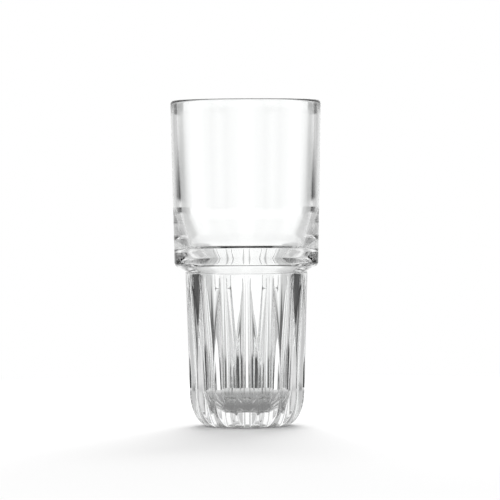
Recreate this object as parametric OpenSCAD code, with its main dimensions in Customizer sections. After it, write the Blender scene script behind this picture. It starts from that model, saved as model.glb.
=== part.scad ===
// Stacking highball glass: a wide upper bowl, a shoulder that the rim of a
// like glass seats under, and a narrower fluted bowl on a heavy base.
// It is one moulding of clear glass. Level cuts divide it into five zones.
// Axis of the glass on Z, resting face at Z = 0, one flute faces -Y.

/* [Overall] */
// Height from the resting face to the top of the rim
glass_h = 156; // [150:0.5:165]
// Diameter across the rim
rim_d = 72; // [70:0.1:76]

/* [Rim and upper wall] */
// Thickness of the wall just under the rounded lip
rim_wall = 2.8; // [2.4:0.1:3.4]
// Height of the rounded top of the lip
lip_round_h = 1.6; // [1:0.1:2.2]
// Height of the band named rim, measured down from the top
rim_band_h = 8; // [5:0.5:15]
// How much the outer radius shrinks from the rim down to the shoulder
upper_draw = 1.45; // [1:0.05:2]
// Thickness of the wall where the upper bowl starts to close in
bowl_wall = 3.65; // [3:0.05:4.5]

/* [Stacking shoulder] */
// Height where the lower wall ends under the shoulder
waist_z = 73.4; // [71:0.1:76]
// How far the shoulder stands out past the top of the lower wall
shoulder_w = 5.3; // [4.5:0.1:6.5]
// Radius of the small hollow between the lower wall and the shoulder
waist_fillet_r = 0.9; // [0.6:0.1:1.2]
// Rise of the shoulder's underside, from level
underside_angle = 26; // [18:1:32]
// Radius of the shoulder's outer corner
shoulder_r = 3.4; // [2.6:0.1:4]
// Height of the middle of that corner's arc over the end of the lower wall
shoulder_rise = 5.5; // [5:0.1:7]
// Thickness of the glass at the throat, where the lower bowl begins
throat_wall = 6.45; // [5.5:0.05:7]
// Height of the throat over the end of the lower wall
throat_rise = 1.7; // [0.8:0.1:3]
// Steepest slope of the step inside, from upright
step_angle = 32; // [28:1:38]
// How far the step stands out past the throat at its steepest place
step_w = 2.2; // [1.6:0.1:2.6]
// Height of that place over the throat
step_rise = 5.7; // [5:0.1:7]
// How far the edge over the step stands out past that place
edge_w = 2.7; // [2.2:0.1:3.2]
// Height of the edge over that place
edge_rise = 4.9; // [4.2:0.1:5.6]
// Slope of the upper bowl where it ends on the edge, from upright
edge_angle = 16; // [14:1:22]
// Height over which the upper bowl closes in, down to the edge
bowl_curve_h = 20.3; // [18:0.1:26]

/* [Lower bowl and base] */
// How much the outer radius shrinks from the shoulder down to the foot
lower_draw = 1.25; // [0.8:0.05:1.8]
// Height of the rounded corner round the foot
foot_round_h = 17; // [14:0.2:18]
// Width of that corner, from the lower wall in to the resting ring
foot_round_w = 10.5; // [9:0.1:11.5]
// Width of the flat ring that the glass rests on
rest_ring_w = 3; // [2:0.1:4]
// Depth of the hollow under the base
punt_h = 1.1; // [0.6:0.1:2]
// Thickness of the base at its middle, from the resting face
floor_z = 8.5; // [7.4:0.1:10]
// Radius of the round between the floor and the lower bowl's wall
floor_r = 10; // [8:0.2:11]
// Thickness of the wall at the top of that round
floor_wall = 8.2; // [7.4:0.1:9]
// Height of the cut between the base and the fluted wall, over that round
base_cut_gap = 1.4; // [0.8:0.1:3]

/* [Flutes] */
// Number of flutes round the lower bowl
flute_count = 16; // [12:1:18]
// Width of a flute's flat bottom
flute_flat_w = 3; // [2.4:0.1:3.6]
// Slope of a flute's sides, from its flat bottom
flute_side_angle = 32; // [27:1:36]
// Height of a flute's knee, where its leaning bottom turns upright
flute_knee_z = 28; // [24:0.5:34]
// Depth of a flute at its knee
flute_depth = 3.15; // [2.6:0.05:3.5]
// Distance from a flute's upper tip to the end of the lower wall
flute_tip_gap = 0.8; // [0.4:0.1:3]
// Distance from the resting ring to the lower end of a flute's bottom
flute_end_gap = 0.5; // [0.3:0.1:1.5]

/* [Hidden] */
$fn = 96;
// Number of straight stretches in a curved part of the outline
curve_steps = 10;
// How far a flute's cut reaches out past the wall, as a share of its depth
reach_share = 0.75;
// Number of straight stretches in a flute's bottom, round the foot's corner
flute_steps = 4;

// Outer radii, from the rim down to the hollow under the base
rim_r = rim_d / 2;
shoulder_side_r = rim_r - upper_draw;
waist_r = shoulder_side_r - shoulder_w;
foot_r = waist_r - lower_draw;
rest_r = foot_r - foot_round_w;
punt_r = rest_r - rest_ring_w;

// Heights, from the lip down to the cut over the base
lip_z = glass_h - lip_round_h;
rim_low_z = glass_h - rim_band_h;
shoulder_z = waist_z + shoulder_rise;
throat_z = waist_z + throat_rise;
step_z = throat_z + step_rise;
edge_z = step_z + edge_rise;
bowl_low_z = edge_z + bowl_curve_h;
floor_round_z = floor_z + floor_r;
base_cut_z = floor_round_z + base_cut_gap;

// Inner radii, each from the outer wall and a thickness
bowl_share = (bowl_low_z - shoulder_z) / (lip_z - shoulder_z);
bowl_r = shoulder_side_r + upper_draw * bowl_share - bowl_wall;
throat_r = waist_r - throat_wall;
step_r = throat_r + step_w;
edge_r = step_r + edge_w;
floor_side_r = wall_r(floor_round_z) - floor_wall;

// Radii and slope of a flute's bottom, and the size of its cut's section
flute_tip_z = waist_z - flute_tip_gap;
flute_tip_r = wall_r(flute_tip_z);
flute_low_r = wall_r(flute_knee_z) - flute_depth;
flute_end_r = rest_r + flute_end_gap;
flute_slope = (flute_tip_r - flute_low_r) / (flute_tip_z - flute_knee_z);
flute_reach = flute_depth * (1 + reach_share);
flute_side_w = flute_flat_w / 2 + flute_reach / tan(flute_side_angle);

// Outer radius of the straight lower wall at a height
function wall_r(z) =
    foot_r + lower_draw * (z - foot_round_h) / (waist_z - foot_round_h);

function arc(mid_r, mid_z, half_w, half_h, from, to) =
    [for (i = [0:curve_steps]) let (a = from + (to - from) * i / curve_steps)
        [mid_r + half_w * cos(a), mid_z + half_h * sin(a)]];

// Smooth bend from one point to another, steered by the corner that it rounds
function bend(start, corner, end) =
    [for (i = [0:curve_steps]) let (share = i / curve_steps)
        start * pow(1 - share, 2) + corner * 2 * share * (1 - share) + end * pow(share, 2)];

// Half of the glass's section, out along the underside and up the outside
function underside() =
    [for (i = [0:curve_steps]) let (share = i / curve_steps)
        [punt_r * share, punt_h * (1 - pow(share, 2))]];
function outside() = concat(
    arc(rest_r, foot_round_h, foot_round_w, foot_round_h, -90, 0),
    arc(waist_r + waist_fillet_r, waist_z, waist_fillet_r, waist_fillet_r,
        180, 90 + underside_angle),
    arc(shoulder_side_r - shoulder_r, shoulder_z, shoulder_r, shoulder_r,
        underside_angle - 90, 0),
    arc(rim_r - rim_wall / 2, lip_z, rim_wall / 2, lip_round_h, 0, 180));

// Then down the inside, over the edge and the step, to the middle of the floor
function inside() = concat(
    bend([bowl_r, bowl_low_z], [bowl_r, edge_z + (bowl_r - edge_r) / tan(edge_angle)],
        [edge_r, edge_z]),
    bend([edge_r, edge_z], [step_r + edge_rise / 2 * tan(step_angle), step_z + edge_rise / 2],
        [step_r, step_z]),
    bend([step_r, step_z], [throat_r, step_z - step_w / tan(step_angle)],
        [throat_r, throat_z]),
    arc(floor_side_r - floor_r, floor_round_z, floor_r, floor_r, 0, -90),
    [[0, floor_z]]);

module glass_section() polygon(concat(underside(), outside(), inside()));

// One zone of the glass between two heights
module zone(low_z, high_z)
    rotate_extrude()
        intersection() {
            glass_section();
            translate([0, low_z]) square([rim_d, high_z - low_z]);
        }

// Line of a flute's bottom round the foot, from its lower end to upright
function foot_line() =
    [for (i = [0:flute_steps]) let (a = 90 * i / flute_steps)
        [flute_end_r + (flute_low_r - flute_end_r) * sin(a), foot_round_h * (1 - cos(a))]];

// Section of a flute's cut, with the flat bottom on its X axis. Square to a
// leaning cut it reaches out less than on the level, by the cosine of the tilt.
module flute_section(tilt) polygon([
    [-flute_flat_w / 2, 0],
    [flute_flat_w / 2, 0],
    [flute_side_w, -flute_reach * cos(tilt)],
    [-flute_side_w, -flute_reach * cos(tilt)]]);

// Straight cut along two points of a flute's bottom, and on past both
module flute_cut(low, high) {
    tilt = atan((high[0] - low[0]) / (high[1] - low[1]));
    translate([0, -low[0], low[1]])
        rotate([tilt, 0, 0])
            translate([0, 0, -flute_reach])
                linear_extrude(norm(high - low) + flute_reach * 2) flute_section(tilt);
}

// One flute, on the side that faces -Y. What its leaning and its upright cut
// share has its knee, and short cuts take its bottom in round the foot.
module flute() {
    line = foot_line();
    intersection() {
        flute_cut([flute_low_r - flute_slope * flute_knee_z, 0], [flute_tip_r, flute_tip_z]);
        flute_cut([flute_low_r, 0], [flute_low_r, waist_z]);
    }
    for (i = [1:flute_steps]) flute_cut(line[i - 1], line[i]);
}

module flutes()
    for (i = [0:flute_count - 1]) rotate([0, 0, 360 * i / flute_count]) flute();

// Rounded drinking edge and the thin wall just under it
module rim()
    color("gainsboro") zone(rim_low_z, glass_h);

// Plain wall of the upper bowl
module upper_wall()
    color("lightgray") zone(bowl_low_z, rim_low_z);

// Thick ring between the bowls, with the step inside and the seat outside
module stacking_shoulder()
    color("silver") zone(waist_z, bowl_low_z);

// Wall of the lower bowl with its ring of flutes
module fluted_wall()
    color("gainsboro") difference() {
        zone(base_cut_z, waist_z);
        flutes();
    }

// Thick bottom with the rounded foot, where the flutes run out
module heavy_base()
    color("lightgray") difference() {
        zone(0, base_cut_z);
        flutes();
    }

rim();
upper_wall();
stacking_shoulder();
fluted_wall();
heavy_base();
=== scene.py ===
import math

import bpy
import numpy as np
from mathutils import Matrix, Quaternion, Vector


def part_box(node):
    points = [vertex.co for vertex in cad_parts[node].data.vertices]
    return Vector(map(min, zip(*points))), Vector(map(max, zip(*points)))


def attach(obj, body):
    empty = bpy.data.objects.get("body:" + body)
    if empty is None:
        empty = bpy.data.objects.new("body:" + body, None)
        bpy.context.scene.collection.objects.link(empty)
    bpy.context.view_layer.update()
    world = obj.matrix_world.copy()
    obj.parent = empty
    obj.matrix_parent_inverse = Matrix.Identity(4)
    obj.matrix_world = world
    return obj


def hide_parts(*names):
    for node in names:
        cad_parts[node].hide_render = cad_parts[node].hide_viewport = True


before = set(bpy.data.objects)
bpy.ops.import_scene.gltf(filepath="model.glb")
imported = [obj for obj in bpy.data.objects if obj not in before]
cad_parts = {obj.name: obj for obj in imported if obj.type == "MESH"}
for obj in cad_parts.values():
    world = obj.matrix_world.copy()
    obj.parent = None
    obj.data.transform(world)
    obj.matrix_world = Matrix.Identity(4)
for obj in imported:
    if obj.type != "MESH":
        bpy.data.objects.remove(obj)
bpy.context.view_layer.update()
print("frame loaded:", len(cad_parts), "nodes")

mm = 0.001  # the glass's sizes are written in millimetres

# the frame gives the overall size, and the two ends of the shoulder's zone
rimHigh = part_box("rim")[1]
shoulderLow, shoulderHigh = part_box("stacking_shoulder")
glassHeight = rimHigh.z / mm
rimRadius = rimHigh.x / mm
waistHeight = shoulderLow.z / mm
bowlLowHeight = shoulderHigh.z / mm

# the moulding, in the same sizes as the frame
glassForm = {
    "rimWall": 2.8,
    "lipRound": 1.6,
    "upperDraw": 1.45,
    "bowlWall": 3.65,
    "shoulderWidth": 5.3,
    "waistFillet": 0.9,
    "undersideAngle": 26,
    "shoulderCorner": 3.4,
    "shoulderRise": 5.5,
    "throatWall": 6.45,
    "throatRise": 1.7,
    "stepAngle": 32,
    "stepWidth": 2.2,
    "stepRise": 5.7,
    "edgeWidth": 2.7,
    "edgeRise": 4.9,
    "edgeAngle": 16,
    "lowerDraw": 1.25,
    "footRoundHeight": 17.0,
    "footRoundWidth": 10.5,
    "restRingWidth": 3.0,
    "restEdgeWidth": 0.15,  # the ring's inner edge is broken by this much, each way
    "restEdgeHeight": 0.04,
    "restInset": 0.6,  # from the ring's outer edge to the last row that is level
    "puntDepth": 1.1,
    "baseThickness": 8.5,
    "floorRound": 10.0,
    "floorWall": 8.2,
}

# the flutes: a flat bottom that leans in from the tip to the knee, then stands upright
# and follows the foot's round, and sides that meet the next flute's in a land or a ridge
fluteForm = {
    "count": 16,
    "flatHalfWidth": 1.5,
    "sideAngle": 32,
    "tipHeight": 72.6,
    "kneeHeight": 28,
    "kneeDepth": 3.15,
    "kneeSoftness": 1.2,
    "footGap": 0.5,
    "innerCornerSoftness": 0.25,
    "ridgeSoftness": 0.2,
}

# how many rows each stretch of the skin gets
skinRows = {
    "punt": 8,
    "foot": 30,
    "lowerWall": 72,
    "fillet": 5,
    "corner": 10,
    "upperWall": 12,
    "lip": 14,
    "upperBowl": 12,
    "bowlCurve": 22,
    "edgeCurve": 14,
    "stepCurve": 16,
    "lowerBowl": 20,
    "floorCurve": 16,
    "floor": 7,
}

# the columns of half a flute: along its edges on the flutes, and even above and below them
skinColumns = {
    "perHalfFlute": 11,
    "edgeGap": 0.2,  # from an edge to the columns beside it
    "sideShares": (0.35, 0.68),
    "evenUnder": 0.02,
    "keptFrom": 0.4,
    "keptUnderWaist": 1,
    "evenOverWaist": 2,
    "reachPastWaist": 3,
    "flutedFrom": 0.05,
}


def smoothMin(a, b, softness):
    share = np.clip(0.5 + 0.5 * (b - a) / softness, 0, 1)
    return b * (1 - share) + a * share - softness * share * (1 - share)


def smoothMax(a, b, softness):
    return -smoothMin(-a, -b, softness)


def arcPoints(middle, halfSize, fromAngle, toAngle, steps):
    angles = [math.radians(fromAngle + (toAngle - fromAngle) * i / steps) for i in range(steps + 1)]
    return [(middle[0] + halfSize[0] * math.cos(a), middle[1] + halfSize[1] * math.sin(a)) for a in angles]


def bendPoints(start, corner, end, steps):
    start, corner, end = (np.array(p, float) for p in (start, corner, end))
    shares = [i / steps for i in range(steps + 1)]
    return [tuple(start * (1 - s) ** 2 + corner * 2 * s * (1 - s) + end * s * s) for s in shares]


def linePoints(start, end, steps):
    return [tuple(start[k] + (end[k] - start[k]) * i / steps for k in (0, 1)) for i in range(steps + 1)]


# radii worked out from the rim inwards, as the frame's are
g = glassForm
shoulderRadius = rimRadius - g["upperDraw"]
waistRadius = shoulderRadius - g["shoulderWidth"]
footRadius = waistRadius - g["lowerDraw"]
restRadius = footRadius - g["footRoundWidth"]
lipHeight = glassHeight - g["lipRound"]
shoulderHeight = waistHeight + g["shoulderRise"]


def lowerWallRadius(z):
    share = (z - g["footRoundHeight"]) / (waistHeight - g["footRoundHeight"])
    return footRadius + g["lowerDraw"] * share


def outerProfile():
    n = skinRows
    punt = restRadius - g["restRingWidth"]
    shares = [i / n["punt"] for i in range(1, n["punt"])]
    points = [(punt * s, g["puntDepth"] * (1 - s ** 2)) for s in shares]
    points += [(punt - g["restEdgeWidth"], g["restEdgeHeight"]), (punt + g["restEdgeWidth"], 0.0),
               (restRadius - g["restInset"], 0.0)]
    foot, steps = g["footRoundHeight"], n["lowerWall"]
    points += arcPoints((restRadius, foot), (g["footRoundWidth"], foot), -90, 0, n["foot"])
    heights = [foot + (waistHeight - foot) * i / steps for i in range(1, steps)]
    points += [(lowerWallRadius(z), z) for z in heights]
    fillet, angle = g["waistFillet"], g["undersideAngle"]
    points += arcPoints((waistRadius + fillet, waistHeight), (fillet, fillet), 180, 90 + angle, n["fillet"])
    corner = g["shoulderCorner"]
    points += arcPoints((shoulderRadius - corner, shoulderHeight), (corner, corner),
                        angle - 90, 0, n["corner"])
    lipMiddle = (rimRadius - g["rimWall"] / 2, lipHeight)
    points += linePoints((shoulderRadius, shoulderHeight), (rimRadius, lipHeight), n["upperWall"])[1:-1]
    points += arcPoints(lipMiddle, (g["rimWall"] / 2, g["lipRound"]), 0, 180, n["lip"])
    return points


def innerProfile():
    n = skinRows
    throatRadius = waistRadius - g["throatWall"]
    stepRadius = throatRadius + g["stepWidth"]
    edgeRadius = stepRadius + g["edgeWidth"]
    throatHeight = waistHeight + g["throatRise"]
    stepHeight = throatHeight + g["stepRise"]
    edgeHeight = stepHeight + g["edgeRise"]
    wallShare = (bowlLowHeight - shoulderHeight) / (lipHeight - shoulderHeight)
    bowlRadius = shoulderRadius + g["upperDraw"] * wallShare - g["bowlWall"]
    stepSlope = math.tan(math.radians(g["stepAngle"]))
    edgeSlope = math.tan(math.radians(g["edgeAngle"]))
    floorTop = g["baseThickness"] + g["floorRound"]
    floorSide = lowerWallRadius(floorTop) - g["floorWall"]

    points = linePoints((rimRadius - g["rimWall"], lipHeight),
                        (bowlRadius, bowlLowHeight), n["upperBowl"])[1:-1]
    points += bendPoints((bowlRadius, bowlLowHeight),
                         (bowlRadius, edgeHeight + (bowlRadius - edgeRadius) / edgeSlope),
                         (edgeRadius, edgeHeight), n["bowlCurve"])
    points += bendPoints((edgeRadius, edgeHeight),
                         (stepRadius + g["edgeRise"] / 2 * stepSlope, stepHeight + g["edgeRise"] / 2),
                         (stepRadius, stepHeight), n["edgeCurve"])[1:]
    points += bendPoints((stepRadius, stepHeight),
                         (throatRadius, stepHeight - g["stepWidth"] / stepSlope),
                         (throatRadius, throatHeight), n["stepCurve"])[1:]
    points += linePoints((throatRadius, throatHeight), (floorSide, floorTop), n["lowerBowl"])[1:-1]
    points += arcPoints((floorSide - g["floorRound"], floorTop), (g["floorRound"], g["floorRound"]),
                        0, -90, n["floorCurve"])
    flat = floorSide - g["floorRound"]
    points += [(flat * (1 - i / n["floor"]), g["baseThickness"]) for i in range(1, n["floor"])]
    return points


def fluteBottom(z):
    # distance from the axis to the middle of a flute's flat bottom
    f = fluteForm
    tip = lowerWallRadius(f["tipHeight"])
    low = lowerWallRadius(f["kneeHeight"]) - f["kneeDepth"]
    lean = (tip - low) / (f["tipHeight"] - f["kneeHeight"])
    leaning = np.float64(tip - lean * (f["tipHeight"] - z))
    upper = float(smoothMax(leaning, np.float64(low), f["kneeSoftness"]))
    fall = 1 - min(max(z / g["footRoundHeight"], 0), 1)
    return upper - (low - restRadius - f["footGap"]) * (1 - math.sqrt(1 - fall ** 2))


def columnAngles(radius, z):
    # angles from a flute's middle to the next land's, with columns kept along the flute's edges
    f, c = fluteForm, skinColumns
    half = math.pi / f["count"]
    even = [half * i / c["perHalfFlute"] for i in range(c["perHalfFlute"] + 1)]
    if z > waistHeight + c["evenOverWaist"] or z < c["evenUnder"]:
        return np.array(even)
    slope = math.tan(math.radians(f["sideAngle"]))
    wall = min(radius, lowerWallRadius(min(z, waistHeight)))
    bottom = fluteBottom(z)
    gap = c["edgeGap"] / wall
    flatEdge = f["flatHalfWidth"] / bottom
    cosine = min(1.0, (bottom - f["flatHalfWidth"] * slope) / math.hypot(1, slope) / wall)
    sideEnd = math.acos(cosine) - math.atan(slope)
    sideEnd = min(max(sideEnd, flatEdge + 3 * gap), half - 2 * gap)
    onSide = [flatEdge + (sideEnd - flatEdge) * share for share in c["sideShares"]]
    kept = [0, flatEdge / 2, flatEdge - gap, flatEdge, flatEdge + gap, *onSide,
            sideEnd - gap, sideEnd, sideEnd + gap, (sideEnd + gap + half) / 2, half]
    above = (z - (waistHeight - c["keptUnderWaist"])) / (c["keptUnderWaist"] + c["evenOverWaist"])
    below = (c["keptFrom"] - z) / (c["keptFrom"] - c["evenUnder"])
    evenShare = min(max(above, 0), 1) + min(max(below, 0), 1)
    return np.array(kept) * (1 - evenShare) + np.array(even) * evenShare


def flutedRadius(radius, z, angles):
    # distance from the axis of the fluted skin, at angles measured from a flute's middle
    f = fluteForm
    slope = math.tan(math.radians(f["sideAngle"]))
    bottom = fluteBottom(z)
    flat = bottom / np.cos(angles)
    side = (bottom - f["flatHalfWidth"] * slope) / (np.cos(angles) - np.sin(angles) * slope)
    groove = smoothMax(flat, side, f["innerCornerSoftness"])
    return smoothMin(np.full(len(angles), radius), groove, f["ridgeSoftness"])


def buildGlassSkin():
    # rows of points from the middle of the underside, up the outside and down the inside
    count, c = fluteForm["count"], skinColumns
    period = 2 * math.pi / count
    outer, inner = outerProfile(), innerProfile()
    rings = []
    for number, (radius, z) in enumerate(outer + inner):
        outside = number < len(outer)
        fluted = outside and c["flutedFrom"] < z < waistHeight
        nearFlutes = outside and z < waistHeight + c["evenOverWaist"]
        nearFlutes = nearFlutes and radius < waistRadius + c["reachPastWaist"]
        half = columnAngles(radius, z if nearFlutes else glassHeight)
        halfRadius = flutedRadius(radius, z, half) if fluted else np.full(len(half), radius)
        angles = np.concatenate([half[:-1], period - half[:0:-1]])
        radii = np.concatenate([halfRadius[:-1], halfRadius[:0:-1]])
        around = np.concatenate([angles + period * i for i in range(count)])
        reach = np.tile(radii, count)
        level = np.full(len(around), z)
        rings.append(np.stack([reach * np.sin(around), -reach * np.cos(around), level], 1))
    columns = len(rings[0])
    middles = np.array([[0, 0, g["puntDepth"]], [0, 0, g["baseThickness"]]])
    points = np.concatenate(rings + [middles]) * mm
    column = np.arange(columns)
    following = (column + 1) % columns
    quads = [np.stack([row * columns + column, row * columns + following,
                       (row + 1) * columns + following, (row + 1) * columns + column], 1)
             for row in range(len(rings) - 1)]
    faces = np.concatenate(quads).tolist()
    underMiddle, floorMiddle = len(points) - 2, len(points) - 1
    last = (len(rings) - 1) * columns
    faces += [(a, underMiddle, b) for a, b in zip(column.tolist(), following.tolist())]
    faces += [(last + a, last + b, floorMiddle) for a, b in zip(column.tolist(), following.tolist())]
    mesh = bpy.data.meshes.new("glassSkin")
    mesh.from_pydata(points.tolist(), [], faces)
    mesh.update()
    mesh.shade_smooth()
    glass = bpy.data.objects.new("glassSkin", mesh)
    bpy.context.collection.objects.link(glass)
    print("glass skin:", len(faces), "faces")
    return glass


# what the clear glass looks like
glassFinish = {
    "tint": (0.985, 0.99, 0.988, 1),
    "ior": 1.52,
    "rippleScale": 55,
    "rippleStretch": 0.3,
    "rippleDetail": 1.5,
    "rippleHeight": 0.000008,
    "smudgeScale": 38,
    "smudgeDetail": 3,
    "smudgeFrom": 0.52,
    "smudgeTo": 0.75,
    "smudgeRoughness": 0.02,
}


def addSockets(group, inputNames, outputName):
    for name in inputNames:
        group.interface.new_socket(name=name, in_out="INPUT", socket_type="NodeSocketFloat")
    group.interface.new_socket(name=outputName, in_out="OUTPUT", socket_type="NodeSocketFloat")


def buildRippleGroup():
    # soft ripple of pressed glass, drawn out along the axis, in object space
    group = bpy.data.node_groups.new("pressedRipple", "ShaderNodeTree")
    addSockets(group, ("Scale", "Stretch"), "Height")
    nodes, links = group.nodes, group.links
    inputs, outputs = nodes.new("NodeGroupInput"), nodes.new("NodeGroupOutput")
    place = nodes.new("ShaderNodeTexCoord")
    split, join = nodes.new("ShaderNodeSeparateXYZ"), nodes.new("ShaderNodeCombineXYZ")
    squeeze = nodes.new("ShaderNodeMath")
    squeeze.operation = "MULTIPLY"
    noise = nodes.new("ShaderNodeTexNoise")
    noise.inputs["Detail"].default_value = glassFinish["rippleDetail"]
    links.new(place.outputs["Object"], split.inputs[0])
    links.new(split.outputs["Z"], squeeze.inputs[0])
    links.new(inputs.outputs["Stretch"], squeeze.inputs[1])
    links.new(split.outputs["X"], join.inputs["X"])
    links.new(split.outputs["Y"], join.inputs["Y"])
    links.new(squeeze.outputs[0], join.inputs["Z"])
    links.new(join.outputs[0], noise.inputs["Vector"])
    links.new(inputs.outputs["Scale"], noise.inputs["Scale"])
    links.new(noise.outputs["Fac"], outputs.inputs["Height"])
    return group


def buildSmudgeGroup():
    # faint handling marks: patches where the polish is a little duller
    group = bpy.data.node_groups.new("handlingMarks", "ShaderNodeTree")
    addSockets(group, ("Scale", "Strength"), "Roughness")
    nodes, links = group.nodes, group.links
    inputs, outputs = nodes.new("NodeGroupInput"), nodes.new("NodeGroupOutput")
    place, noise = nodes.new("ShaderNodeTexCoord"), nodes.new("ShaderNodeTexNoise")
    noise.inputs["Detail"].default_value = glassFinish["smudgeDetail"]
    cut, scale = nodes.new("ShaderNodeMapRange"), nodes.new("ShaderNodeMath")
    cut.inputs["From Min"].default_value = glassFinish["smudgeFrom"]
    cut.inputs["From Max"].default_value = glassFinish["smudgeTo"]
    scale.operation = "MULTIPLY"
    links.new(place.outputs["Object"], noise.inputs["Vector"])
    links.new(inputs.outputs["Scale"], noise.inputs["Scale"])
    links.new(noise.outputs["Fac"], cut.inputs["Value"])
    links.new(cut.outputs["Result"], scale.inputs[0])
    links.new(inputs.outputs["Strength"], scale.inputs[1])
    links.new(scale.outputs[0], outputs.inputs["Roughness"])
    return group


def clearGlass():
    material = bpy.data.materials.new("clearGlass")
    material.use_nodes = True
    nodes, links = material.node_tree.nodes, material.node_tree.links
    shader = nodes["Principled BSDF"]
    shader.inputs["Base Color"].default_value = glassFinish["tint"]
    shader.inputs["Transmission Weight"].default_value = 1
    shader.inputs["IOR"].default_value = glassFinish["ior"]
    ripple = nodes.new("ShaderNodeGroup")
    ripple.node_tree = buildRippleGroup()
    ripple.inputs["Scale"].default_value = glassFinish["rippleScale"]
    ripple.inputs["Stretch"].default_value = glassFinish["rippleStretch"]
    bump = nodes.new("ShaderNodeBump")
    bump.inputs["Distance"].default_value = glassFinish["rippleHeight"]
    smudge = nodes.new("ShaderNodeGroup")
    smudge.node_tree = buildSmudgeGroup()
    smudge.inputs["Scale"].default_value = glassFinish["smudgeScale"]
    smudge.inputs["Strength"].default_value = glassFinish["smudgeRoughness"]
    links.new(ripple.outputs["Height"], bump.inputs["Height"])
    links.new(bump.outputs["Normal"], shader.inputs["Normal"])
    links.new(smudge.outputs["Roughness"], shader.inputs["Roughness"])
    print("material: clear glass")
    return material


# the pale table under the glass, and the studio round it, in metres
tableLook = {
    "radius": 0.5,
    "corners": 128,
    "seenColour": 0.97,
    "fadeStart": 0.28,
    "fadeEnd": 0.45,
    # what the glass sees of it: painted shade that is darker close by, where the glass's shadow falls, and
    # a share of painted light that glows free of shadow
    "paintedShadeNear": 0.34,
    "paintedShadeFar": 0.65,
    "nearReach": 0.035,
    "farReach": 0.09,
    "paintedLightShare": 0.6,
    "reachThroughGlass": 0.12,
}
studioLight = {
    "background": 1.0,
    "softFill": 0.8,
    # panels in the glass: degrees from each quarter's middle, and the level there
    "panelTurn": 45,
    "upperPanels": ((0, 1.08), (9, 1.08), (13, 0.78), (22, 0.62), (30, 0.55),
                    (33, 0.6), (38, 0.6), (41, 0.9), (45, 0.95)),
    "lowerPanels": ((0, 1.13), (10, 1.13), (11.5, 0.64), (23, 0.48), (28, 0.34), (30, 0.03), (45, 0.03)),
    # where each kind gives way to the next, in degrees under level: upper, lower, upper
    # again, and the ground. The ceiling lies over level, so its degrees are negative
    "upperTo": 1.8,
    "lowerFrom": 3.0,
    "lowerTo": 9,
    "upperFrom": 13,
    "groundPanels": ((0, 0.92), (14, 0.88), (17, 0.6), (30, 0.52), (33, 0.82), (45, 0.88)),
    "groundFrom": 20,
    "groundTo": 38,
    "ceiling": 0.35,
    "ceilingFrom": -35,
    "ceilingTo": -50,
    # the lamp, and how many times light is followed through the glass
    "lampPower": 10,
    "lampSize": 0.8,
    "lampPlace": (0.08, 0.9, 0.72),
    "glossySteps": 11,
    "lightSteps": 12,
}


def buildTable():
    bpy.ops.mesh.primitive_circle_add(radius=tableLook["radius"], fill_type="NGON",
                                      vertices=tableLook["corners"])
    table = bpy.context.object
    table.name = "paleTable"
    material = bpy.data.materials.new("paleTable")
    material.use_nodes = True
    nodes, links = material.node_tree.nodes, material.node_tree.links
    nodes.clear()
    place, length = nodes.new("ShaderNodeTexCoord"), nodes.new("ShaderNodeVectorMath")
    length.operation = "LENGTH"
    links.new(place.outputs["Object"], length.inputs[0])
    # the eye sees pale diffuse that fades out to white
    fade = nodes.new("ShaderNodeMapRange")
    fade.interpolation_type = "SMOOTHSTEP"
    fade.inputs["From Min"].default_value = tableLook["fadeStart"]
    fade.inputs["From Max"].default_value = tableLook["fadeEnd"]
    seen, white = nodes.new("ShaderNodeBsdfDiffuse"), nodes.new("ShaderNodeEmission")
    seen.inputs["Color"].default_value = (tableLook["seenColour"],) * 3 + (1,)
    seenMix = nodes.new("ShaderNodeMixShader")
    links.new(length.outputs["Value"], fade.inputs["Value"])
    links.new(fade.outputs["Result"], seenMix.inputs["Fac"])
    links.new(seen.outputs[0], seenMix.inputs[1])
    links.new(white.outputs[0], seenMix.inputs[2])
    # the glass sees a small greyer disc, with painted shade close by and a share of painted glow, and the
    # studio past it
    reach = nodes.new("ShaderNodeMath")
    reach.operation = "GREATER_THAN"
    reach.inputs[1].default_value = tableLook["reachThroughGlass"]
    grey, clear = nodes.new("ShaderNodeBsdfDiffuse"), nodes.new("ShaderNodeBsdfTransparent")
    # painted light: a share of the grey glows, free of shadow, in place of the light that reaches the table
    # through the glass
    paintedGlow, greyMix = nodes.new("ShaderNodeEmission"), nodes.new("ShaderNodeMixShader")
    greyMix.inputs["Fac"].default_value = tableLook["paintedLightShare"]
    # painted shade: the grey runs from dark close to the glass, where its shadow falls, to lighter further
    # out
    level = nodes.new("ShaderNodeMapRange")
    level.interpolation_type = "SMOOTHSTEP"
    for socket, value in (("From Min", "nearReach"), ("From Max", "farReach"),
                          ("To Min", "paintedShadeNear"), ("To Max", "paintedShadeFar")):
        level.inputs[socket].default_value = tableLook[value]
    links.new(length.outputs["Value"], level.inputs["Value"])
    links.new(level.outputs["Result"], grey.inputs["Color"])
    links.new(level.outputs["Result"], paintedGlow.inputs["Color"])
    links.new(grey.outputs[0], greyMix.inputs[1])
    links.new(paintedGlow.outputs[0], greyMix.inputs[2])
    throughMix = nodes.new("ShaderNodeMixShader")
    links.new(length.outputs["Value"], reach.inputs[0])
    links.new(reach.outputs[0], throughMix.inputs["Fac"])
    links.new(greyMix.outputs[0], throughMix.inputs[1])
    links.new(clear.outputs[0], throughMix.inputs[2])
    path, ray = nodes.new("ShaderNodeLightPath"), nodes.new("ShaderNodeMixShader")
    out = nodes.new("ShaderNodeOutputMaterial")
    links.new(path.outputs["Is Camera Ray"], ray.inputs["Fac"])
    links.new(throughMix.outputs[0], ray.inputs[1])
    links.new(seenMix.outputs[0], ray.inputs[2])
    links.new(ray.outputs[0], out.inputs["Surface"])
    table.data.materials.append(material)
    print("table built")


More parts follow.
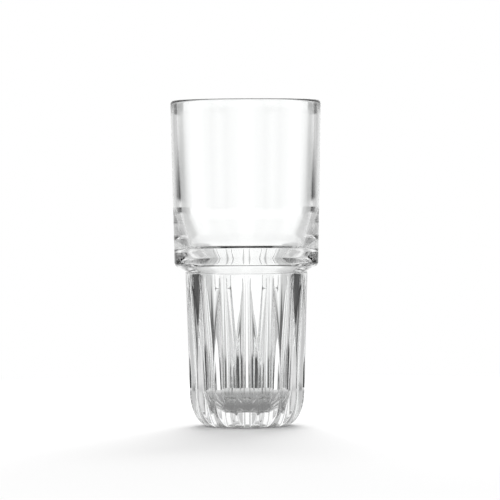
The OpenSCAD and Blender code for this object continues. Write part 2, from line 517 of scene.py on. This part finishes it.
def buildStudio():
    # white to the eye, while gloss and glass see white, grey and dark panels round the glass
    world = bpy.data.worlds.new("studio")
    bpy.context.scene.world = world
    world.use_nodes = True
    nodes, links = world.node_tree.nodes, world.node_tree.links
    nodes.clear()
    s = studioLight

    def mathNode(operation, first, second=None):
        node = nodes.new("ShaderNodeMath")
        node.operation = operation
        for socket, value in zip(node.inputs, (first, second)):
            if isinstance(value, (int, float)):
                socket.default_value = value
            elif value is not None:
                links.new(value, socket)
        return node.outputs[0]

    place, split = nodes.new("ShaderNodeTexCoord"), nodes.new("ShaderNodeSeparateXYZ")
    links.new(place.outputs["Generated"], split.inputs[0])
    turn = mathNode("DEGREES", mathNode("ARCTAN2", split.outputs["X"], split.outputs["Y"]))
    panelTurn = s["panelTurn"]
    quarter = mathNode("PINGPONG", mathNode("ADD", turn, 8 * panelTurn), panelTurn)
    part = mathNode("DIVIDE", quarter, panelTurn)

    def panelLevel(panels):
        # a ramp's colours stop at 1, so the levels go in as shares of the highest
        ramp = nodes.new("ShaderNodeValToRGB")
        stops = ramp.color_ramp.elements
        peak = max(level for degrees, level in panels)
        while len(stops) > 1:
            stops.remove(stops[-1])
        for number, (degrees, level) in enumerate(panels):
            stop = stops[0] if number == 0 else stops.new(degrees / panelTurn)
            stop.position = degrees / panelTurn
            stop.color = (level / peak,) * 3 + (1,)
        links.new(part, ramp.inputs["Fac"])
        return mathNode("MULTIPLY", ramp.outputs["Color"], peak)

    def turnTo(first, second, fromDegrees, toDegrees):
        # mixes from one level to another between two angles under level
        mask, mix = nodes.new("ShaderNodeMapRange"), nodes.new("ShaderNodeMix")
        mask.interpolation_type = "SMOOTHSTEP"
        mask.inputs["From Min"].default_value = -math.sin(math.radians(fromDegrees))
        mask.inputs["From Max"].default_value = -math.sin(math.radians(toDegrees))
        links.new(split.outputs["Z"], mask.inputs["Value"])
        links.new(mask.outputs["Result"], mix.inputs["Factor"])
        links.new(first, mix.inputs["A"])
        if isinstance(second, float):
            mix.inputs["B"].default_value = second
        else:
            links.new(second, mix.inputs["B"])
        return mix.outputs["Result"]

    upper, lower = panelLevel(s["upperPanels"]), panelLevel(s["lowerPanels"])
    ground = panelLevel(s["groundPanels"])
    seenInGlass = turnTo(upper, lower, s["upperTo"], s["lowerFrom"])
    seenInGlass = turnTo(seenInGlass, upper, s["lowerTo"], s["upperFrom"])
    seenInGlass = turnTo(seenInGlass, ground, s["groundFrom"], s["groundTo"])
    seenInGlass = turnTo(seenInGlass, s["ceiling"], s["ceilingFrom"], s["ceilingTo"])

    path = nodes.new("ShaderNodeLightPath")
    shine = mathNode("MAXIMUM", path.outputs["Is Glossy Ray"], path.outputs["Is Transmission Ray"])
    plain = nodes.new("ShaderNodeMix")
    links.new(path.outputs["Is Camera Ray"], plain.inputs["Factor"])
    plain.inputs["A"].default_value = s["softFill"]
    plain.inputs["B"].default_value = s["background"]
    strength = nodes.new("ShaderNodeMix")
    links.new(shine, strength.inputs["Factor"])
    links.new(plain.outputs["Result"], strength.inputs["A"])
    links.new(seenInGlass, strength.inputs["B"])
    light, out = nodes.new("ShaderNodeBackground"), nodes.new("ShaderNodeOutputWorld")
    light.inputs["Color"].default_value = (1, 1, 1, 1)
    links.new(strength.outputs["Result"], light.inputs["Strength"])
    links.new(light.outputs[0], out.inputs["Surface"])
    print("studio built")


def buildLamp():
    # one large soft lamp, high and behind, a little to the right, so that the shadow falls forward
    data = bpy.data.lights.new("softLamp", "AREA")
    data.shape, data.size = "DISK", studioLight["lampSize"]
    data.energy = studioLight["lampPower"]
    lamp = bpy.data.objects.new("softLamp", data)
    bpy.context.collection.objects.link(lamp)
    lamp.location = studioLight["lampPlace"]
    lamp.rotation_mode = "QUATERNION"
    lamp.rotation_quaternion = (-Vector(lamp.location)).to_track_quat("-Z", "Y")
    lamp.visible_glossy = lamp.visible_transmission = lamp.visible_camera = False


# the photograph's viewpoint: nearly level, from well back. The distance is in metres,
# the heights, the sideways shift and the view's width are in millimetres
cameraPlace = {
    "distance": 1.6,
    "eyeHeight": 111.0,
    "aimHeight": 84.3,
    "sideways": 1.75,
    "roll": -0.345,
    "viewWidth": 239.7,
    "sensorWidth": 36,
}


def buildCamera():
    c = cameraPlace
    data = bpy.data.cameras.new("photoCamera")
    camera = bpy.data.objects.new("photoCamera", data)
    bpy.context.collection.objects.link(camera)
    camera.location = (c["sideways"] * mm, -c["distance"], c["eyeHeight"] * mm)
    sight = Vector((c["sideways"] * mm, 0, c["aimHeight"] * mm)) - camera.location
    camera.rotation_mode = "QUATERNION"
    roll = Quaternion((0, 0, 1), math.radians(c["roll"]))
    camera.rotation_quaternion = sight.to_track_quat("-Z", "Y") @ roll
    data.sensor_width = c["sensorWidth"]
    data.lens = data.sensor_width * sight.length / (c["viewWidth"] * mm)
    bpy.context.scene.camera = camera


glass = buildGlassSkin()
glass.data.materials.append(clearGlass())
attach(glass, "root")
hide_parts("rim", "upper_wall", "stacking_shoulder", "fluted_wall", "heavy_base")
buildTable()
buildStudio()
buildLamp()
buildCamera()
bpy.context.scene.view_settings.view_transform = "Standard"
# thick glass needs more inner reflections than the few that are followed by default
cycles = bpy.context.scene.cycles
cycles.glossy_bounces = studioLight["glossySteps"]
cycles.max_bounces = cycles.transmission_bounces = studioLight["lightSteps"]
print("scene ready")
